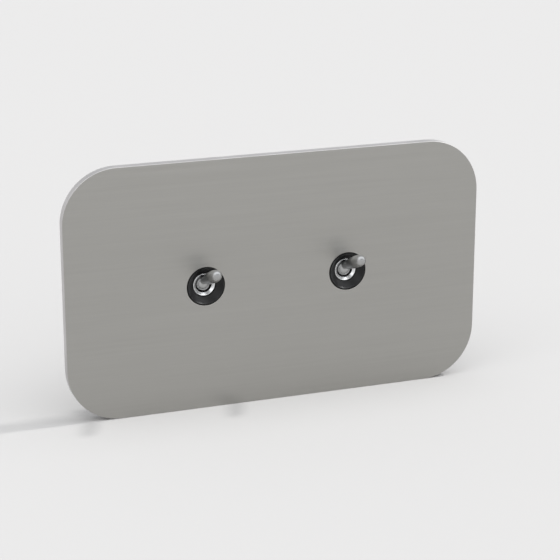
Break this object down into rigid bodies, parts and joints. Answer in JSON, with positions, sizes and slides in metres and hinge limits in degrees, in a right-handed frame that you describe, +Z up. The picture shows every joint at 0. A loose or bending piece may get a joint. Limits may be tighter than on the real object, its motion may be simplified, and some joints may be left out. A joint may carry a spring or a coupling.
{
  "type": "two-gang toggle wall switch",
  "caption": "Double wall plate in thick brushed metal with bat-lever toggle switches in black dished collars, change-over mechanisms behind.",
  "frame": {"origin": "centre of the mounting frame's back: its raised centre pad, which lies on the wall surface", "axes": "+Y into the wall, +X to the viewer's right along the plate's length, +Z up; the levers point along -Y"},
  "size_m": [0.147, 0.0473, 0.086],
  "materials": {
    "brushed_plate": "brushed",
    "black_collar": "black anodised",
    "chrome": "polished",
    "satin_lever": "satin nickel plated",
    "zinc_steel": "zinc plated",
    "brass": "machined",
    "copper": "stamped",
    "phenolic": "moulded",
    "nylon": "moulded",
    "rubber": "matt"
  },
  "bodies": {
    "switch_body": {"face_plate": "brushed_plate", "wall_seal": "rubber", "mounting_frame": "zinc_steel", "box_screw_left": "zinc_steel", "box_screw_right": "zinc_steel", "earth_terminal": "brass", "earth_screw": "brass", "dress_nut_left": "black_collar", "bushing_left": "chrome", "lock_washer_left": "zinc_steel", "jam_nut_left": "zinc_steel", "bracket_left": "zinc_steel", "case_left": "phenolic", "terminal_upper_left": "brass", "terminal_common_left": "brass", "terminal_lower_left": "brass", "terminal_screw_upper_left": "zinc_steel", "terminal_screw_common_left": "zinc_steel", "terminal_screw_lower_left": "zinc_steel", "pivot_pin_left": "zinc_steel", "dress_nut_right": "black_collar", "bushing_right": "chrome", "lock_washer_right": "zinc_steel", "jam_nut_right": "zinc_steel", "bracket_right": "zinc_steel", "case_right": "phenolic", "terminal_upper_right": "brass", "terminal_common_right": "brass", "terminal_lower_right": "brass", "terminal_screw_upper_right": "zinc_steel", "terminal_screw_common_right": "zinc_steel", "terminal_screw_lower_right": "zinc_steel", "pivot_pin_right": "zinc_steel"},
    "lever_left": {"lever_left": "satin_lever", "plunger_spring_left": "zinc_steel"},
    "plunger_left": {"plunger_left": "nylon"},
    "rocker_left": {"rocker_contact_left": "copper"},
    "lever_right": {"lever_right": "satin_lever", "plunger_spring_right": "zinc_steel"},
    "plunger_right": {"plunger_right": "nylon"},
    "rocker_right": {"rocker_contact_right": "copper"}
  },
  "joints": [
    {"name": "lever_left_tilt", "type": "hinge", "parent": "switch_body", "child": "lever_left", "pos_m": [-0.0254, -0.0007, 0], "axis": [1, 0, 0], "range_deg": [0, 45.3]},
    {"name": "plunger_left_slide", "type": "slide", "parent": "lever_left", "child": "plunger_left", "axis": [0, -0.9227, 0.3854], "range_m": [0, 0.001], "stiffness_N_per_m": 200, "deforming": ["plunger_spring_left"]},
    {"name": "rocker_left_tilt", "type": "hinge", "parent": "switch_body", "child": "rocker_left", "pos_m": [-0.0254, 0.015, 0], "axis": [1, 0, 0], "range_deg": [-18.2, 0.2]},
    {"name": "lever_right_tilt", "type": "hinge", "parent": "switch_body", "child": "lever_right", "pos_m": [0.0254, -0.0007, 0], "axis": [1, 0, 0], "range_deg": [0, 45.3]},
    {"name": "plunger_right_slide", "type": "slide", "parent": "lever_right", "child": "plunger_right", "axis": [0, -0.9227, 0.3854], "range_m": [0, 0.001], "stiffness_N_per_m": 200, "deforming": ["plunger_spring_right"]},
    {"name": "rocker_right_tilt", "type": "hinge", "parent": "switch_body", "child": "rocker_right", "pos_m": [0.0254, 0.015, 0], "axis": [1, 0, 0], "range_deg": [-18.2, 0.2]}
  ],
  "couplings": [
    {"joint": "rocker_left_tilt", "follows": "lever_left_tilt", "ratio": -0.3974},
    {"joint": "rocker_right_tilt", "follows": "lever_right_tilt", "ratio": -0.3974}
  ]
}
